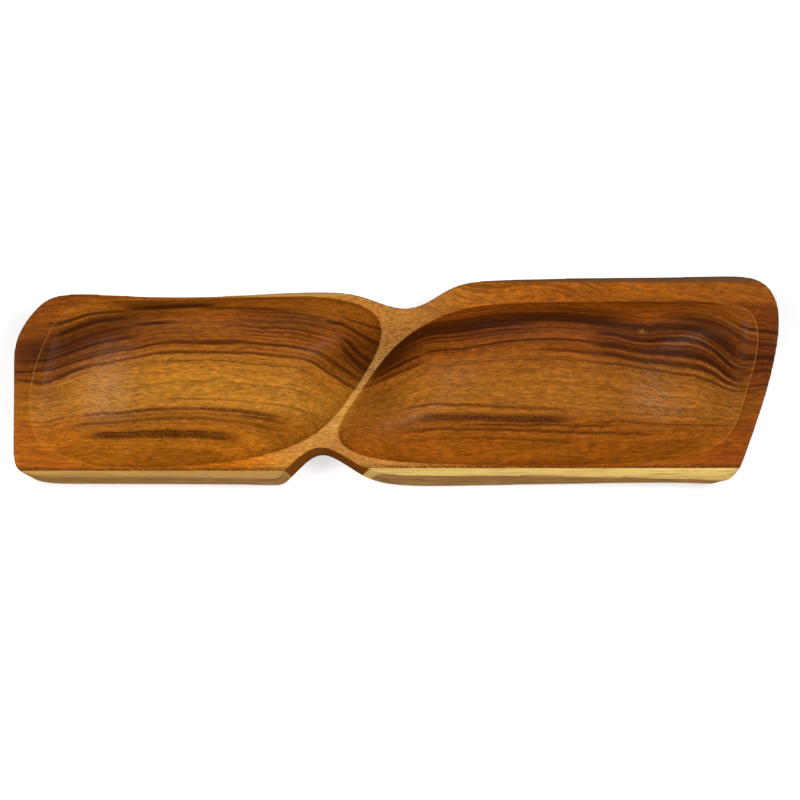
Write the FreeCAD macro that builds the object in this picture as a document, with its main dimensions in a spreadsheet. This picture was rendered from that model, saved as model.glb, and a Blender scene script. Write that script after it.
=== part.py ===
"""Carved two-hollow appetizer dish: one solid block of hardwood.

The block is a closed outline at its foot and a wider one at its rim, lofted.  It is waisted at the
back, notched at the front and slanted at its right end, and its front top corner is pared off in
a long sloping facet.  Two hollows are carved into it, each drawn in level by level to a low floor,
and a narrow slanting S-shaped ridge is left between them.

Millimetres.  +X runs along the dish, +Y to its back edge, +Z up, and the origin is under the
middle of the dish on the surface that it stands on.
"""
import FreeCAD, Part
import Sketcher
import math
import os
import re

SIZES = {
    # the block, from its middle
    "height": 38,
    "left_bay": 230,
    "right_bay": 230,
    "back_left": 50.4,
    "back_right": 61,
    "front": 60,
    # the waist at the back and the notch at the front
    "waist_at": 4,
    "waist_back": 41,
    "notch_at": -44.5,
    "notch_front": 40.5,
    # how far the right end slants in towards the front
    "end_slant": 26,
    # how much the ends and the sides draw in at the foot, and its softened edge
    "end_tuck": 8,
    "side_tuck": 5,
    "foot_chamfer": 3,
    # the sloping facet along the front: its top edge, and how steeply it falls
    "left_crest": 56.2,
    "right_crest": 54.5,
    "facet_run": 10,
    "facet_fall": 11,
    # the flat rims round the hollows, and the ridge between them
    "left_rim": 9.5,
    "right_rim": 12,
    "back_rim_left": 3.4,
    "back_rim_right": 15,
    "front_rim": 2,
    "ridge_width": 3,
    # the hollows: depth, lowest point, and the share of the opening that the floor keeps
    "left_depth": 22,
    "left_low_x": -98,
    "left_floor": 0.35,
    "right_depth": 24,
    "right_low_x": 86,
    "right_floor": 0.32,
    "low_y": -1.5,
}

# The outline of the block at the rim: stretches of control points, each with how much of the
# end tuck (x) and of the side tuck (y) its side draws in by at the foot.
BLOCK = [
    # left end
    ((-1, 0), [
        ("-left_bay + 0.5", "0"),
        ("-left_bay - 1", "back_left - 28"),
    ]),
    # back left corner
    ((-1, 1), [
        ("-left_bay + 12", "back_left - 9"),
        ("-left_bay + 24", "back_left + 1.5"),
    ]),
    # back edge and waist
    ((0, 1), [
        ("-0.74*left_bay", "back_left - 0.5"),
        ("-0.545*left_bay", "back_left - 2.5"),
        ("-0.35*left_bay", "back_left + 0.5"),
        ("waist_at - 36.5", "back_left + 3.5"),
        ("waist_at - 15", "waist_back + 4.5"),
        ("waist_at", "waist_back - 0.5"),
        ("waist_at + 15", "waist_back + 3.5"),
        ("waist_at + 31", "back_right - 3.5"),
        ("0.26*right_bay", "back_right - 1.5"),
        ("0.525*right_bay", "back_right"),
        ("0.783*right_bay", "back_right"),
    ]),
    # back right corner
    ((1, 1), [
        ("right_bay - 12.5", "back_right + 2.5"),
        ("right_bay", "back_right - 12.5"),
    ]),
    # slanted right end
    ((1, 0), [
        ("right_bay + 1", "28"),
        ("right_bay - 0.23*end_slant", "-5"),
        ("right_bay - 0.67*end_slant", "-37.5"),
    ]),
    # front right corner
    ((1, -0.3), [
        ("right_bay - end_slant + 0.5", "-front"),
        ("right_bay - end_slant - 5", "-front - 2.5"),
        ("right_bay - end_slant - 18.5", "-front - 1"),
    ]),
    # front edge right of the notch, wider at the foot towards the notch
    ((0, 0.15), [
        ("0.52*right_bay", "-front + 0.5"),
    ]),
    ((0, 0.8), [
        ("0.22*right_bay", "-front + 2"),
        ("notch_at + 39.5", "-front + 1"),
    ]),
    # notch, its left side wider at the foot
    ((0, 0.2), [
        ("notch_at + 21.5", "-notch_front - 14"),
        ("notch_at", "-notch_front + 3"),
    ]),
    ((-0.4, 0.2), [
        ("notch_at - 16.5", "-notch_front - 9.5"),
        ("notch_at - 25", "-notch_front - 18.5"),
        ("notch_at - 28.5", "-front - 1"),
    ]),
    # front edge left of the notch
    ((0, 0.2), [
        ("notch_at - 44", "-front"),
        ("-0.6*left_bay", "-front"),
        ("-0.82*left_bay", "-front + 0.5"),
    ]),
    # front left corner
    ((-0.7, 0), [
        ("-left_bay + 1", "-front - 1"),
        ("-left_bay", "-front + 15"),
    ]),
]

# The middle of the ridge where its two edges run side by side, and how far along X each edge lies
# from it for a ridge of a width.
RIDGE_BACK = ("waist_at - 12.5", "waist_back - 32.5")
RIDGE_FRONT = ("notch_at + 22", "-notch_front + 30")
RIDGE_SLANT = 0.5

# The openings of the hollows at the rim: control points, each with how far its wall rolls over
# into the rim, from 0, a steep wall, to 1, a long soft slope.
LEFT_HOLLOW = [
    ("-left_bay + left_rim - 1.5", "-10.5", 1),
    ("-left_bay + left_rim + 3.5", "10.5", 1),
    ("-left_bay + left_rim + 15.5", "back_left - back_rim_left - 7", 0.6),
    ("-left_bay + left_rim + 36.5", "back_left - back_rim_left + 0.5", 0.2),
    ("-0.563*left_bay", "back_left - back_rim_left - 0.5", 0),
    ("-0.326*left_bay", "back_left - back_rim_left + 2", 0),
    ("waist_at - 39.5", "back_left - back_rim_left + 2.5", 0),
    ("waist_at - 10", "waist_back - 2.5", 0),
    (f"{RIDGE_BACK[0]} - {RIDGE_SLANT}*ridge_width", f"{RIDGE_BACK[1]} + 7", 1),
    (f"{RIDGE_FRONT[0]} - {RIDGE_SLANT}*ridge_width", f"{RIDGE_FRONT[1]} + 4.5", 1),
    ("notch_at + 5.5", "-notch_front + 12.5", 0),
    ("notch_at - 17.5", "-left_crest + front_rim + 11.5", 0),
    ("-0.437*left_bay", "-left_crest + front_rim + 2", 0),
    ("-0.652*left_bay", "-left_crest + front_rim - 0.5", 0),
    ("-left_bay + left_rim + 25.5", "-left_crest + front_rim + 1", 0.3),
    ("-left_bay + left_rim + 1", "-left_crest + front_rim + 13.5", 0.7),
]
RIGHT_HOLLOW = [
    ("notch_at + 4", "-notch_front + 4.5", 0),
    (f"{RIDGE_FRONT[0]} + {RIDGE_SLANT}*ridge_width - 5.5", f"{RIDGE_FRONT[1]} - 5", 0.4),
    (f"{RIDGE_BACK[0]} + {RIDGE_SLANT}*ridge_width - 7", f"{RIDGE_BACK[1]} - 5.5", 0.4),
    ("waist_at - 4.5", "waist_back - 20.5", 0),
    ("waist_at + 18", "waist_back - 5", 0),
    ("waist_at + 46.5", "back_right - back_rim_right - 1", 0),
    ("0.413*right_bay", "back_right - back_rim_right", 0),
    ("0.654*right_bay", "back_right - back_rim_right", 0),
    ("right_bay - right_rim - 22.5", "back_right - back_rim_right + 0.5", 0.2),
    ("right_bay - right_rim + 1", "back_right - back_rim_right - 4.5", 0.6),
    ("right_bay - right_rim", "12", 1),
    ("right_bay - right_rim - 0.35*end_slant", "-11.5", 1),
    ("right_bay - right_rim - 0.58*end_slant", "-right_crest + front_rim + 15", 0.7),
    ("right_bay - right_rim - end_slant - 17", "-right_crest + front_rim + 2.5", 0.3),
    ("0.5*right_bay", "-right_crest + front_rim - 0.5", 0),
    ("0.17*right_bay", "-right_crest + front_rim", 0),
    ("notch_at + 23.5", "-right_crest + front_rim + 2", 0),
]

# How a wall falls: the share of the depth at each level, then how far in towards the floor a
# steep wall and a rolled wall are by then.
WALL = [
    (0, 0, 0),
    (0.38, 0.12, 0.29),
    (0.71, 0.36, 0.56),
    (0.93, 0.68, 0.82),
    (1, 1, 1),
]


def bound(words):
    """An expression in the plain size names, as references to the sheet's cells."""
    return re.sub(r"[a-z_]+", lambda name: "dim." + name.group(), words)


def make_sheet(doc):
    """The spreadsheet that holds the driving dimensions."""
    sheet = doc.addObject("Spreadsheet::Sheet", "dim")
    for row, (name, value) in enumerate(SIZES.items(), start=1):
        sheet.set(f"A{row}", name)
        sheet.set(f"B{row}", str(value))
        sheet.setAlias(f"B{row}", name)
    doc.recompute()


def new_sketch(body, name, role):
    """An empty sketch on one of the body's own origin planes."""
    plane = next(feature for feature in body.Origin.OriginFeatures if feature.Role == role)
    sketch = body.newObject("Sketcher::SketchObject", name)
    sketch.AttachmentSupport = (plane, [""])
    sketch.MapMode = "FlatFace"
    sketch.Visibility = False
    return sketch


def pin(sketch, geometry, corner, place):
    """Bind a point of a sketch to a pair of expressions, measured from the origin."""
    for kind, words in zip(("DistanceX", "DistanceY"), place):
        number = sketch.addConstraint(Sketcher.Constraint(kind, geometry, corner, 1.0))
        sketch.setExpression(f"Constraints[{number}]", bound(words))


def closed_curve(body, name, height, points):
    """A level sketch: one smooth closed curve through the pull of its control points."""
    sketch = new_sketch(body, name, "XY_Plane")
    sketch.setExpression("AttachmentOffset.Base.z", bound(height))
    count = len(points)
    turn = 2 * math.pi / count
    ring = [FreeCAD.Vector(math.cos(turn * i), math.sin(turn * i)) for i in range(count)]
    curve = Part.BSplineCurve()
    curve.buildFromPolesMultsKnots(ring, [1] * (count + 1), list(range(count + 1)), True, 3)
    sketch.addGeometry(curve, False)
    sketch.exposeInternalGeometry(0)
    for extra in range(sketch.GeometryCount - 1, count, -1):
        sketch.delGeometry(extra)
    for number, place in enumerate(points, start=1):
        pin(sketch, number, 3, place)
    return sketch


def loft(body, kind, name, levels):
    """A smooth loft through level sketches, added as the block or carved out of it."""
    feature = body.newObject(f"PartDesign::{kind}Loft", name)
    feature.Profile = levels[0]
    feature.Sections = levels[1:]
    return feature


def make_block(body):
    """The block before anything is carved: its foot outline lofted to its rim outline."""
    rim = []
    foot = []
    for (end_share, side_share), stretch in BLOCK:
        for x, y in stretch:
            rim.append((x, y))
            foot.append((f"{x} - {end_share}*end_tuck", f"{y} - {side_share}*side_tuck"))
    levels = [
        closed_curve(body, "foot_outline", "0", foot),
        closed_curve(body, "rim_outline", "height", rim),
    ]
    return loft(body, "Additive", "block", levels)


def make_facet(body, side, turned):
    """The sloping facet along the front on one side of the notch."""
    crest = f"-{side}_crest"
    corners = [
        (crest, "height"),
        (f"{crest} - facet_run", "height - facet_fall"),
        (f"{crest} - facet_run", "height + facet_fall"),
        (crest, "height + facet_fall"),
    ]
    sketch = new_sketch(body, f"{side}_facet_section", "YZ_Plane")
    sketch.setExpression("AttachmentOffset.Base.z", bound("notch_at"))
    square = [FreeCAD.Vector(x, y) for x, y in ((1, 0), (0, 0), (0, 1), (1, 1))]
    for start, end in zip(square, square[1:] + square[:1]):
        sketch.addGeometry(Part.LineSegment(start, end), False)
    for number, corner in enumerate(corners):
        sketch.addConstraint(Sketcher.Constraint("Coincident", number, 1, (number - 1) % 4, 2))
        pin(sketch, number, 1, corner)
    facet = body.newObject("PartDesign::Pocket", f"{side}_facet")
    facet.Profile = sketch
    facet.Reversed = turned
    facet.setExpression("Length", bound("left_bay + right_bay"))
    return facet


def make_hollow(body, side, opening):
    """One carved hollow: its opening drawn in towards the lowest point, level by level."""
    low_x = f"{side}_low_x"
    levels = []
    for number, (drop, steep, rolled) in enumerate(WALL):
        points = []
        for x, y, roll in opening:
            inset = steep + (rolled - steep) * roll
            kept = f"(1 - {inset:.3f}*(1 - {side}_floor))"
            points.append((
                f"{low_x} + ({x} - {low_x})*{kept}",
                f"low_y + ({y} - low_y)*{kept}",
            ))
        name = f"{side}_hollow_level_{number}"
        levels.append(closed_curve(body, name, f"height - {drop}*{side}_depth", points))
    return loft(body, "Subtractive", f"{side}_hollow", levels)


def soften_foot(body, carved):
    """The narrow chamfer round the foot, along the edges that lie on the ground."""
    ground = [
        f"Edge{number}"
        for number, edge in enumerate(carved.Shape.Edges, start=1)
        if max(abs(edge.BoundBox.ZMin), abs(edge.BoundBox.ZMax)) < 0.1
    ]
    chamfer = body.newObject("PartDesign::Chamfer", "soft_foot")
    chamfer.Base = (carved, ground)
    chamfer.setExpression("Size", bound("foot_chamfer"))
    return chamfer


doc = FreeCAD.newDocument("dish")
make_sheet(doc)
body = doc.addObject("PartDesign::Body", "dish")
body.Label = "dish"
make_block(body)
doc.recompute()
make_facet(body, "left", False)
make_facet(body, "right", True)
doc.recompute()
make_hollow(body, "left", LEFT_HOLLOW)
carved = make_hollow(body, "right", RIGHT_HOLLOW)
doc.recompute()
soften_foot(body, carved)
doc.recompute()

for item in doc.Objects:
    if "Invalid" in item.State or "Error" in item.State:
        raise RuntimeError(f"{item.Name} failed: {item.State}")
if body.Shape.isNull() or not body.Shape.isValid() or len(body.Shape.Solids) != 1:
    raise RuntimeError("the dish is not one valid solid")

os.makedirs("parts", exist_ok=True)
body.Shape.exportStep(f"parts/{body.Label}.step")
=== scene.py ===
"""The carved appetizer dish, dressed: one block of oiled hardwood with two hollows, on a pale floor.

Lengths are metres in the model's own frame: +X along the dish, +Y to its waisted back edge, +Z up.
The figure of the wood is worked out in millimetres.
"""
import logging
import math
from dataclasses import dataclass
from enum import Enum
from typing import ClassVar

import bpy
import numpy as np
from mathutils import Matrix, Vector


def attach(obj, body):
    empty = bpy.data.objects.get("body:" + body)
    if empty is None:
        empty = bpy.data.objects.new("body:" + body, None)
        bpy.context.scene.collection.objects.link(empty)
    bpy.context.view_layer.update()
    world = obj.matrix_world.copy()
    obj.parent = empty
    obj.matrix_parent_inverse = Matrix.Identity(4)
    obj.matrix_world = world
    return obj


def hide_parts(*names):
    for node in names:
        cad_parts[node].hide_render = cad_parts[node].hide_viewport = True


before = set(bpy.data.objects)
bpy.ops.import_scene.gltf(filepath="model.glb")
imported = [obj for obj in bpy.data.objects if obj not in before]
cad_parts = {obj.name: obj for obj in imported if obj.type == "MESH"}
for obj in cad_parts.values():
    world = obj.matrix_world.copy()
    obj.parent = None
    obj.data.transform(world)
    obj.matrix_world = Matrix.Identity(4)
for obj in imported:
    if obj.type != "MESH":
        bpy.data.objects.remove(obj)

log = logging.getLogger("dish")

Colour = tuple[float, float, float]
Places = tuple[tuple[float, float], ...]
# a soft step: its two limits, then the levels it goes between where they aren't 0 and 1
Levels = tuple[float, ...]
# a band: its two ends, and how far each one fades
Band = tuple[float, float, float]

UNTINTED: Colour = (1.0, 1.0, 1.0)
MILLIMETRES = 1000.0


class Ray(Enum):
    """The kinds of ray that the stage answers by itself."""

    CAMERA = "Is Camera Ray"
    GLOSSY = "Is Glossy Ray"
    TRANSMISSION = "Is Transmission Ray"


# Small helpers


def only(piece: bpy.types.Object) -> None:
    """Select one piece alone and make it the active one.

    Args:
        piece: the piece to work on next.
    """
    bpy.ops.object.select_all(action="DESELECT")
    piece.select_set(True)
    bpy.context.view_layer.objects.active = piece


@dataclass(frozen=True)
class Marks:
    """Random marks: the size of one along three directions, and how finely it is broken up.

    The contrast is how far the marks take the wood from dark to light, round its own colour.
    """

    size: tuple[float, float, float]
    detail: float = 2.0
    contrast: float = 0.0
    roughness: float = 0.6


class Bench:
    """Places nodes in one node tree and wires them together."""

    def __init__(self, tree: bpy.types.NodeTree) -> None:
        """Work on a tree."""
        self.tree = tree

    def add(self, kind: str, **settings: object) -> bpy.types.Node:
        """Place a node.

        Args:
            kind: the node's type, without its ShaderNode prefix.
            settings: the node's own properties by name.

        Returns:
            The new node.
        """
        node = self.tree.nodes.new("ShaderNode" + kind)
        for name, value in settings.items():
            setattr(node, name, value)
        return node

    def feed(self, socket: bpy.types.NodeSocket, value: object) -> None:
        """Set a socket to a plain value, or wire another socket into it.

        Args:
            socket: the socket to feed.
            value: a number, a colour or another socket.
        """
        if isinstance(value, bpy.types.NodeSocket):
            self.tree.links.new(value, socket)
        else:
            socket.default_value = value

    def math(self, operation: str, *values: object, clamp: bool = False) -> bpy.types.NodeSocket:
        """One step of arithmetic.

        Args:
            operation: the operation's name.
            values: its numbers or sockets, in their order.
            clamp: whether the result is kept from 0 to 1.

        Returns:
            The socket that holds the result.
        """
        node = self.add("Math", operation=operation, use_clamp=clamp)
        for socket, value in zip(node.inputs, values):
            self.feed(socket, value)
        return node.outputs[0]

    def product(self, *values: object) -> bpy.types.NodeSocket:
        """Multiply several numbers.

        Args:
            values: two or more numbers or sockets.

        Returns:
            The socket that holds the product.
        """
        total = values[0]
        for value in values[1:]:
            total = self.math("MULTIPLY", total, value)
        return total

    def spread(
        self, value: object, low: float, high: float, to_low: float = 0, to_high: float = 1
    ) -> bpy.types.NodeSocket:
        """A soft step from one level to another.

        Args:
            value: the number that is read.
            low: where the step begins.
            high: where it ends.
            to_low: the level at its beginning.
            to_high: the level at its end.

        Returns:
            The socket that holds the level.
        """
        node = self.add("MapRange", interpolation_type="SMOOTHSTEP")
        for socket, number in zip(node.inputs, (value, low, high, to_low, to_high)):
            self.feed(socket, number)
        return node.outputs[0]

    def between(
        self, value: object, low: float, high: float, fade: float
    ) -> bpy.types.NodeSocket:
        """A mask with soft ends.

        Args:
            value: the number that is read.
            low: where the mask begins.
            high: where it ends.
            fade: half the length of each soft end.

        Returns:
            The socket that holds the mask, 1 between the two ends.
        """
        begun = self.spread(value, low - fade, low + fade)
        return self.math("MULTIPLY", begun, self.spread(value, high - fade, high + fade, 1, 0))

    def blend(self, share: object, first: object, second: object) -> bpy.types.NodeSocket:
        """Mix two colours.

        Args:
            share: how much of the second one shows.
            first: the colour at a share of 0.
            second: the colour at a share of 1.

        Returns:
            The socket that holds the mixed colour.
        """
        node = self.add("Mix", data_type="RGBA")
        for name, value in (("Factor_Float", share), ("A_Color", first), ("B_Color", second)):
            socket = next(s for s in node.inputs if s.identifier == name)
            self.feed(socket, (*value, 1) if isinstance(value, tuple) else value)
        return next(s for s in node.outputs if s.identifier == "Result_Color")

    def scaled(self, colour: object, share: object) -> bpy.types.NodeSocket:
        """Make a colour lighter or darker.

        Args:
            colour: the colour.
            share: how bright it ends up, 1 being as it was.

        Returns:
            The socket that holds the new colour.
        """
        node = self.add("VectorMath", operation="SCALE")
        self.feed(node.inputs[0], colour)
        self.feed(node.inputs["Scale"], share)
        return node.outputs[0]

    def tinted(self, colour: object, tint: object) -> bpy.types.NodeSocket:
        """Multiply a colour by another one.

        Args:
            colour: the colour.
            tint: what it is multiplied by.

        Returns:
            The socket that holds the new colour.
        """
        node = self.add("VectorMath", operation="MULTIPLY")
        self.feed(node.inputs[0], colour)
        self.feed(node.inputs[1], tint)
        return node.outputs[0]

    def grain(self, place: tuple[object, ...], marks: Marks) -> bpy.types.NodeSocket:
        """Scatter random marks.

        Args:
            place: three numbers or sockets that say where a point is.
            marks: the marks' size along each of them.

        Returns:
            The socket that holds them, as values from 0 to 1.
        """
        scaled = self.add("CombineXYZ")
        for socket, value, length in zip(scaled.inputs, place, marks.size):
            self.feed(socket, self.math("DIVIDE", value, length))
        noise = self.add("TexNoise", noise_dimensions="3D")
        self.feed(noise.inputs["Vector"], scaled.outputs[0])
        noise.inputs["Scale"].default_value = 1
        noise.inputs["Detail"].default_value = marks.detail
        noise.inputs["Roughness"].default_value = marks.roughness
        return noise.outputs[0]

    def swing(self, scattered: object) -> bpy.types.NodeSocket:
        """Random marks brought round zero, as values from -0.5 to 0.5."""
        return self.math("SUBTRACT", scattered, 0.5)

    def shade(self, scattered: object, marks: Marks) -> bpy.types.NodeSocket:
        """How light random marks leave the wood, 1 being as it was."""
        return self.math("MULTIPLY_ADD", scattered, marks.contrast, 1 - marks.contrast / 2)

    def group(self, tree: bpy.types.NodeTree, *values: object) -> bpy.types.Node:
        """Place a node group.

        Args:
            tree: the group's own tree.
            values: what its inputs are fed, in their order.

        Returns:
            The group's node.
        """
        node = self.add("Group", node_tree=tree)
        for socket, value in zip(node.inputs, values):
            self.feed(socket, value)
        return node

    def axes(self, vector: bpy.types.NodeSocket) -> tuple[bpy.types.NodeSocket, ...]:
        """Take a vector apart.

        Args:
            vector: the socket that holds it.

        Returns:
            The sockets of its three numbers.
        """
        node = self.add("SeparateXYZ")
        self.feed(node.inputs[0], vector)
        return tuple(node.outputs)

    def curve(self, share: object, points: Places, straight: bool = False) -> bpy.types.NodeSocket:
        """Draw a curve.

        Args:
            share: the number that is read, from 0 to 1.
            points: the points that the curve goes through, both ways from 0 to 1.
            straight: whether it runs straight from point to point.

        Returns:
            The socket that holds the curve's height.
        """
        node = self.add("FloatCurve")
        line = node.mapping.curves[0]
        while len(line.points) < len(points):
            line.points.new(0.5, 0.5)
        for point, place in zip(line.points, points):
            point.location = place
            if straight:
                point.handle_type = "VECTOR"
        node.mapping.update()
        self.feed(node.inputs["Value"], share)
        return node.outputs[0]

    def ramp(self, share: object, stops: tuple[tuple[float, Colour], ...]) -> bpy.types.NodeSocket:
        """A smooth run of colours.

        Args:
            share: the number that is read, from 0 to 1.
            stops: places from 0 to 1, each with its colour.

        Returns:
            The socket that holds the colour.
        """
        node = self.add("ValToRGB")
        node.color_ramp.interpolation = "EASE"
        band = node.color_ramp.elements
        while len(band) < len(stops):
            band.new(0.5)
        for stop, (at, colour) in zip(band, stops):
            stop.position = at
            stop.color = (*colour, 1)
        self.feed(node.inputs[0], share)
        return node.outputs[0]


def new_group(
    name: str, takes: dict[str, str], gives: dict[str, str]
) -> bpy.types.NodeTree:
    """An empty shader node group with named sockets.

    Args:
        name: what the group is called.
        takes: its inputs, name to kind of socket.
        gives: its outputs, name to kind of socket.

    Returns:
        The group's tree, with its input and output nodes placed.
    """
    tree = bpy.data.node_groups.new(name, "ShaderNodeTree")
    for side, sockets in (("INPUT", takes), ("OUTPUT", gives)):
        for socket, kind in sockets.items():
            tree.interface.new_socket(name=socket, in_out=side, socket_type="NodeSocket" + kind)
    tree.nodes.new("NodeGroupInput")
    tree.nodes.new("NodeGroupOutput")
    return tree


# The wood


@dataclass(frozen=True)
class Line:
    """One line of the figure: its growth layer, its half width in layers and its strength."""

    layer: float
    half_width: float
    strength: float


@dataclass(frozen=True)
class Stretch:
    """Lines of the figure that show along one stretch of the dish.

    The drift is how many layers further out they have run at the end of the stretch. A line
    fades in slowly on its inner side and ends sharply on its outer one, as a growth line does.
    Where it begins and where it is full are told in half widths from its middle.
    """

    BEGINS: ClassVar[float] = 1.5
    FULL_BEFORE: ClassVar[float] = 0.5
    FULL_AFTER: ClassVar[float] = 0.4
    VALLEY: ClassVar[float] = 0.35
    MARGIN: ClassVar[float] = 1.0

    start: float
    end: float
    lines: tuple[Line, ...]
    drift: float = 0.0
    fade: float = 12.0

    def profile(self) -> Places:
        """How strong the lines are across the layers.

        Returns:
            Layers and strengths, in rising order. Lines that touch share a shallow valley.
        """
        points: list[tuple[float, float]] = []
        for line in sorted(self.lines, key=lambda one: one.layer):
            begins = line.layer - self.BEGINS * line.half_width
            if points and points[-1][0] > begins:
                ended, _ = points.pop()
                points.append(((ended + begins) / 2, self.VALLEY * line.strength))
            else:
                points.append((begins, 0.0))
            points.append((line.layer - self.FULL_BEFORE * line.half_width, line.strength))
            points.append((line.layer + self.FULL_AFTER * line.half_width, line.strength))
            points.append((line.layer + line.half_width, 0.0))
        return tuple(points)

    def wire(self, bench: Bench, layer: object, x: object) -> bpy.types.NodeSocket:
        """A mask of the lines.

        Args:
            bench: where the nodes go.
            layer: the growth layer.
            x: the place along the dish.

        Returns:
            The socket that holds the mask.
        """
        if self.drift:
            run = bench.math("MULTIPLY_ADD", x, 1 / (self.end - self.start),
                             -self.start / (self.end - self.start), clamp=True)
            layer = bench.math("MULTIPLY_ADD", run, -self.drift, layer)
        points = self.profile()
        first = points[0][0] - self.MARGIN
        span = points[-1][0] + self.MARGIN - first
        share = bench.math("MULTIPLY_ADD", layer, 1 / span, -first / span, clamp=True)
        drawn = ((0.0, 0.0), *(((at - first) / span, dark) for at, dark in points), (1.0, 0.0))
        across = bench.curve(share, drawn, straight=True)
        return bench.math("MULTIPLY", across, bench.between(x, self.start, self.end, self.fade))


@dataclass(frozen=True)
class Spot:
    """A soft-edged part of the board, long along the dish and a few layers deep.

    The amount is how far the layers bend there, in millimetres, or how much lighter the wood is.
    """

    along: float
    layer: float
    reach: float
    depth: float
    amount: float

    def mask(
        self, bench: Bench, shape: bpy.types.NodeTree, layer: object, x: object
    ) -> bpy.types.NodeSocket:
        """Where the spot is.

        Args:
            bench: where the nodes go.
            shape: the node group of a soft spot.
            layer: the growth layer.
            x: the place along the dish.

        Returns:
            The socket that holds its mask, 1 in its middle.
        """
        spot = bench.group(shape, layer, x, self.along, self.layer, self.reach, self.depth)
        return spot.outputs[0]


@dataclass(frozen=True)
class GrowthLayers:
    """The growth layers of the board, in millimetres: rings round a pith above its back edge.

    The wander is how far the layers drift along the dish, and the lean how much further the
    front ones drift than the back ones. The swirls are where they bend round hidden knots, and
    the burrs are where they crumple.
    """

    pith_y: float = 95.0
    pith_z: float = 104.8
    length: float = 460.0
    wander_reach: float = 4.0
    lean_reach: float = 16.0
    lean_measured_at: float = 50.0
    knots: Marks = Marks((6, 4, 5), detail=1)
    ripples: Marks = Marks((30, 16, 16))
    ripple_height: float = 1.3
    wander: Places = (
        (-230, 2.7),
        (-195, 2.6),
        (-160, 0.8),
        (-115, 0.9),
        (-70, -1.1),
        (-30, -1.3),
        (5, 1.0),
        (45, -1.3),
        (90, -1.3),
        (130, -2.4),
        (165, -1.0),
        (195, 0.8),
        (230, -0.1),
    )
    lean: Places = (
        (-230, 1.7),
        (-195, 4.3),
        (-160, 5.4),
        (-115, 7.0),
        (-70, 7.2),
        (-30, 3.8),
        (5, 14.5),
        (45, 11.4),
        (90, 11.7),
        (130, 8.8),
        (165, 6.6),
        (195, 3.2),
        (230, 1.5),
    )
    swirls: tuple[Spot, ...] = (
        Spot(-210, 122.5, 20, 6.5, 1.9),
        Spot(-190, 113, 26, 5, -0.5),
        Spot(-155, 114, 17, 7, 0.7),
        Spot(-110, 118.5, 26, 5, 0.8),
        Spot(-31, 115, 9, 3, -0.6),
        Spot(150, 113, 23, 14, 2.1),
        Spot(185, 113, 18, 15, -1.3),
        Spot(206, 116, 16, 13, 2.5),
        Spot(197, 101, 22, 5, -2.2),
        Spot(205, 141, 26, 7, -2.4),
    )
    burrs: tuple[Spot, ...] = (
        Spot(-80, 108.5, 30, 6, 3.0),
        Spot(153, 107.5, 16, 5, 2.6),
        Spot(10, 93, 40, 7, 2.0),
    )

    def drawn(
        self, bench: Bench, share: object, points: Places, reach: float
    ) -> bpy.types.NodeSocket:
        """Draw a curve over the length of the dish.

        Args:
            bench: where the nodes go.
            share: the place along the dish, from 0 to 1.
            points: places along the dish in millimetres, each with its value.
            reach: the largest value, either way, that the curve can hold.

        Returns:
            The socket that holds the value.
        """
        scaled = tuple(
            ((x + self.length / 2) / self.length, 0.5 + value / (2 * reach)) for x, value in points
        )
        curve = bench.curve(share, scaled)
        return bench.math("MULTIPLY", bench.math("SUBTRACT", curve, 0.5), 2 * reach)

    def wire(
        self, bench: Bench, place: tuple[object, ...], shape: bpy.types.NodeTree
    ) -> bpy.types.NodeSocket:
        """The layer that a point of the board is in, as the ring's radius.

        Args:
            bench: where the nodes go.
            place: the point's x, y and z.
            shape: the node group of a soft spot.

        Returns:
            The socket that holds the layer.
        """
        x, y, z = place
        share = bench.math("MULTIPLY_ADD", x, 1 / self.length, 0.5, clamp=True)
        across = bench.math("SUBTRACT", y, self.pith_y)
        up = bench.math("SUBTRACT", z, self.pith_z)
        squares = bench.math("MULTIPLY_ADD", across, across, bench.math("MULTIPLY", up, up))
        wander = self.drawn(bench, share, self.wander, self.wander_reach)
        lean = self.drawn(bench, share, self.lean, self.lean_reach)
        leaned = bench.math("MULTIPLY", lean, bench.math("MULTIPLY", y, 1 / self.lean_measured_at))
        ring = bench.math("ADD", bench.math("SQRT", squares), wander)
        ring = bench.math("ADD", ring, leaned)
        total = ring
        for swirl in self.swirls:
            mask = swirl.mask(bench, shape, ring, x)
            total = bench.math("MULTIPLY_ADD", mask, -swirl.amount, total)
        knots = bench.swing(bench.grain(place, self.knots))
        for burr in self.burrs:
            bent = bench.math("MULTIPLY", knots, burr.amount)
            total = bench.math("MULTIPLY_ADD", burr.mask(bench, shape, ring, x), bent, total)
        ripple = bench.swing(bench.grain(place, self.ripples))
        return bench.math("MULTIPLY_ADD", ripple, self.ripple_height, total)


DARK_BANDS = (
    # the broad dark band along the back wall of the right hollow
    Stretch(-12, 72, (Line(108.7, 3.3, 0.86),), drift=-0.6, fade=16),
    Stretch(-16, 12, (Line(114.0, 4.8, 0.85),), fade=12),
    Stretch(64, 138, (Line(105.9, 2.6, 0.92),), drift=-1.0, fade=16),
)

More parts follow.
